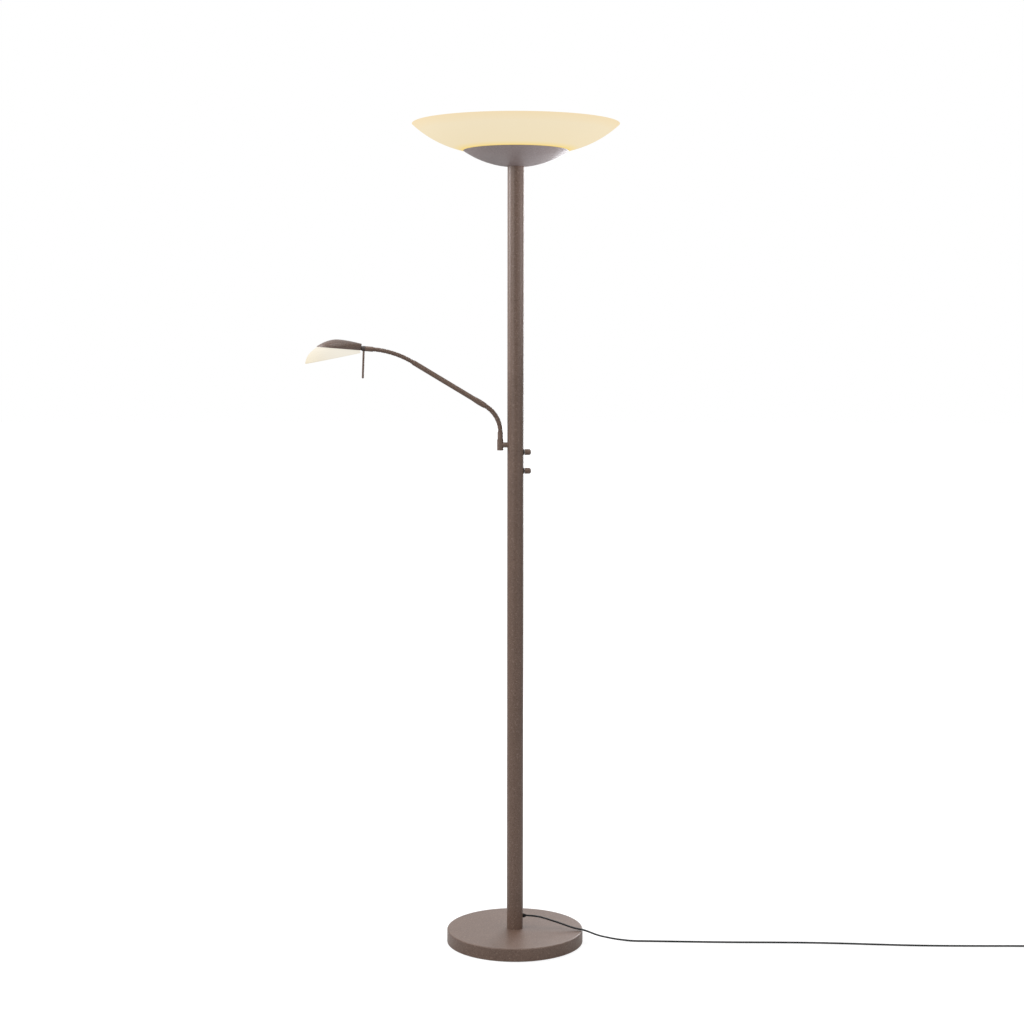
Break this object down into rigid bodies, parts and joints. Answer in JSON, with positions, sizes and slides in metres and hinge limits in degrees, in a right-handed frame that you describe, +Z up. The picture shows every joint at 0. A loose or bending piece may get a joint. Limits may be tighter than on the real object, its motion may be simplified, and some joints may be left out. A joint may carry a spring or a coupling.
{
  "type": "floor lamp",
  "caption": "Floor lamp: round weighted base, slim two-part pole, glass uplight bowl, flexible side arm with a glass-shaded reading light, rotary dimmers and a mains lead.",
  "frame": {"origin": "centre of the base's underside, on the floor", "axes": "+Z up the pole, -X towards the reading light, +X towards the knobs and the mains lead"},
  "size_m": [1.6966, 0.4474, 1.799],
  "materials": {
    "rust_paint": "fine textured powder coat, satin",
    "dark_paint": "dark satin",
    "cast_weight": "rough cast",
    "zinc_steel": "zinc plated",
    "nut_brass": "turned",
    "black_rubber": "matt",
    "black_plastic": "fine texture",
    "lead_plastic": "smooth",
    "cream_glass": "satin, cream coloured",
    "opal_plastic": "opal",
    "plain_aluminium": "satin",
    "board": "white solder resist"
  },
  "bodies": {
    "stand": {"base_pad": "black_rubber", "base_weight": "cast_weight", "base_cover": "rust_paint", "base_nut": "zinc_steel", "pole_foot": "zinc_steel", "pole_lower": "rust_paint", "pole_joiner": "zinc_steel", "pole_upper": "rust_paint", "pole_top_plug": "zinc_steel", "cord_gland": "black_plastic", "inner_lead": "lead_plastic", "dish": "rust_paint", "dish_nuts": "nut_brass", "glass_gasket": "black_rubber", "glass_bowl": "cream_glass", "glass_washer": "black_rubber", "led_carrier": "plain_aluminium", "led_board": "board", "diffuser": "opal_plastic", "driver": "black_plastic", "dimmer_upper": "black_plastic", "dimmer_lower": "black_plastic", "dimmer_nuts": "black_plastic", "arm_bracket": "rust_paint", "bracket_nut": "zinc_steel", "cord_tube": "lead_plastic", "cord_coil": "lead_plastic", "cord_tie": "black_plastic", "plug_body": "black_plastic", "plug_pins": "zinc_steel"},
    "arm_base": {"arm_swivel": "rust_paint", "swivel_clip": "zinc_steel"},
    "lower_link_1": {"lower_flex_1": "rust_paint"},
    "lower_link_2": {"lower_flex_2": "rust_paint"},
    "lower_link_3": {"lower_flex_3": "rust_paint"},
    "lower_link_4": {"lower_flex_4": "rust_paint"},
    "lower_link_5": {"lower_flex_5": "rust_paint"},
    "lower_link_6": {"lower_flex_6": "rust_paint"},
    "arm": {"arm_coupler": "rust_paint", "arm_tube": "rust_paint"},
    "upper_link_1": {"upper_flex_1": "rust_paint"},
    "upper_link_2": {"upper_flex_2": "rust_paint"},
    "upper_link_3": {"upper_flex_3": "rust_paint"},
    "upper_link_4": {"upper_flex_4": "rust_paint"},
    "upper_link_5": {"upper_flex_5": "rust_paint"},
    "upper_link_6": {"upper_flex_6": "rust_paint"},
    "upper_link_7": {"upper_flex_7": "rust_paint"},
    "arm_end": {"end_sleeve": "rust_paint"},
    "reading_head": {"head_swivel": "dark_paint", "aim_handle": "rust_paint", "head_cover": "rust_paint", "head_glass": "cream_glass", "head_plate": "plain_aluminium", "head_led_board": "board", "head_lens": "opal_plastic", "head_screws": "zinc_steel"},
    "upper_control": {"knob_upper": "rust_paint", "dimmer_shaft_upper": "zinc_steel"},
    "lower_control": {"knob_lower": "rust_paint", "dimmer_shaft_lower": "zinc_steel"}
  },
  "joints": [
    {"name": "arm_swing", "type": "hinge", "parent": "stand", "child": "arm_base", "pos_m": [-0.0333, 0, 1.1075], "axis": [0, 0, 1], "range_deg": [-90, 90]},
    {"name": "lower_bend", "type": "hinge", "parent": "arm_base", "child": "lower_link_1", "pos_m": [-0.0333, 0, 1.14065], "axis": [0, -1, 0], "range_deg": [-7, 5.8]},
    {"name": "lower_bend_2", "type": "hinge", "parent": "lower_link_1", "child": "lower_link_2", "pos_m": [-0.03472, 0, 1.15025], "axis": [0, -1, 0], "range_deg": [-7, 5.8]},
    {"name": "lower_bend_3", "type": "hinge", "parent": "lower_link_2", "child": "lower_link_3", "pos_m": [-0.03753, 0, 1.15953], "axis": [0, -1, 0], "range_deg": [-7, 5.8]},
    {"name": "lower_bend_4", "type": "hinge", "parent": "lower_link_3", "child": "lower_link_4", "pos_m": [-0.04168, 0, 1.1683], "axis": [0, -1, 0], "range_deg": [-7, 5.8]},
    {"name": "lower_bend_5", "type": "hinge", "parent": "lower_link_4", "child": "lower_link_5", "pos_m": [-0.04706, 0, 1.17637], "axis": [0, -1, 0], "range_deg": [-7, 5.8]},
    {"name": "lower_bend_6", "type": "hinge", "parent": "lower_link_5", "child": "lower_link_6", "pos_m": [-0.05357, 0, 1.18356], "axis": [0, -1, 0], "range_deg": [-7, 5.8]},
    {"name": "lower_bend_7", "type": "hinge", "parent": "lower_link_6", "child": "arm", "pos_m": [-0.06106, 0, 1.18972], "axis": [0, -1, 0], "range_deg": [-7, 5.8]},
    {"name": "upper_bend", "type": "hinge", "parent": "arm", "child": "upper_link_1", "pos_m": [-0.2283, 0, 1.2902], "axis": [0, 1, 0], "range_deg": [-10, 4.7]},
    {"name": "upper_bend_2", "type": "hinge", "parent": "upper_link_1", "child": "upper_link_2", "pos_m": [-0.23848, 0, 1.29555], "axis": [0, 1, 0], "range_deg": [-10, 4.7]},
    {"name": "upper_bend_3", "type": "hinge", "parent": "upper_link_2", "child": "upper_link_3", "pos_m": [-0.24895, 0, 1.30031], "axis": [0, 1, 0], "range_deg": [-10, 4.7]},
    {"name": "upper_bend_4", "type": "hinge", "parent": "upper_link_3", "child": "upper_link_4", "pos_m": [-0.25967, 0, 1.30445], "axis": [0, 1, 0], "range_deg": [-10, 4.7]},
    {"name": "upper_bend_5", "type": "hinge", "parent": "upper_link_4", "child": "upper_link_5", "pos_m": [-0.27062, 0, 1.30798], "axis": [0, 1, 0], "range_deg": [-10, 4.7]},
    {"name": "upper_bend_6", "type": "hinge", "parent": "upper_link_5", "child": "upper_link_6", "pos_m": [-0.28175, 0, 1.31087], "axis": [0, 1, 0], "range_deg": [-10, 4.7]},
    {"name": "upper_bend_7", "type": "hinge", "parent": "upper_link_6", "child": "upper_link_7", "pos_m": [-0.29303, 0, 1.31312], "axis": [0, 1, 0], "range_deg": [-10, 4.7]},
    {"name": "upper_bend_8", "type": "hinge", "parent": "upper_link_7", "child": "arm_end", "pos_m": [-0.30442, 0, 1.31472], "axis": [0, 1, 0], "range_deg": [-10, 4.7]},
    {"name": "head_turn", "type": "hinge", "parent": "arm_end", "child": "reading_head", "pos_m": [-0.32699, 0, 1.31657], "axis": [-0.9966, 0, 0.0819], "range_deg": [-90, 90]},
    {"name": "upper_knob_turn", "type": "hinge", "parent": "stand", "child": "upper_control", "pos_m": [0.0216, 0, 1.092], "axis": [1, 0, 0], "range_deg": [0, 280]},
    {"name": "lower_knob_turn", "type": "hinge", "parent": "stand", "child": "lower_control", "pos_m": [0.0216, 0, 1.051], "axis": [1, 0, 0], "range_deg": [0, 280]}
  ]
}
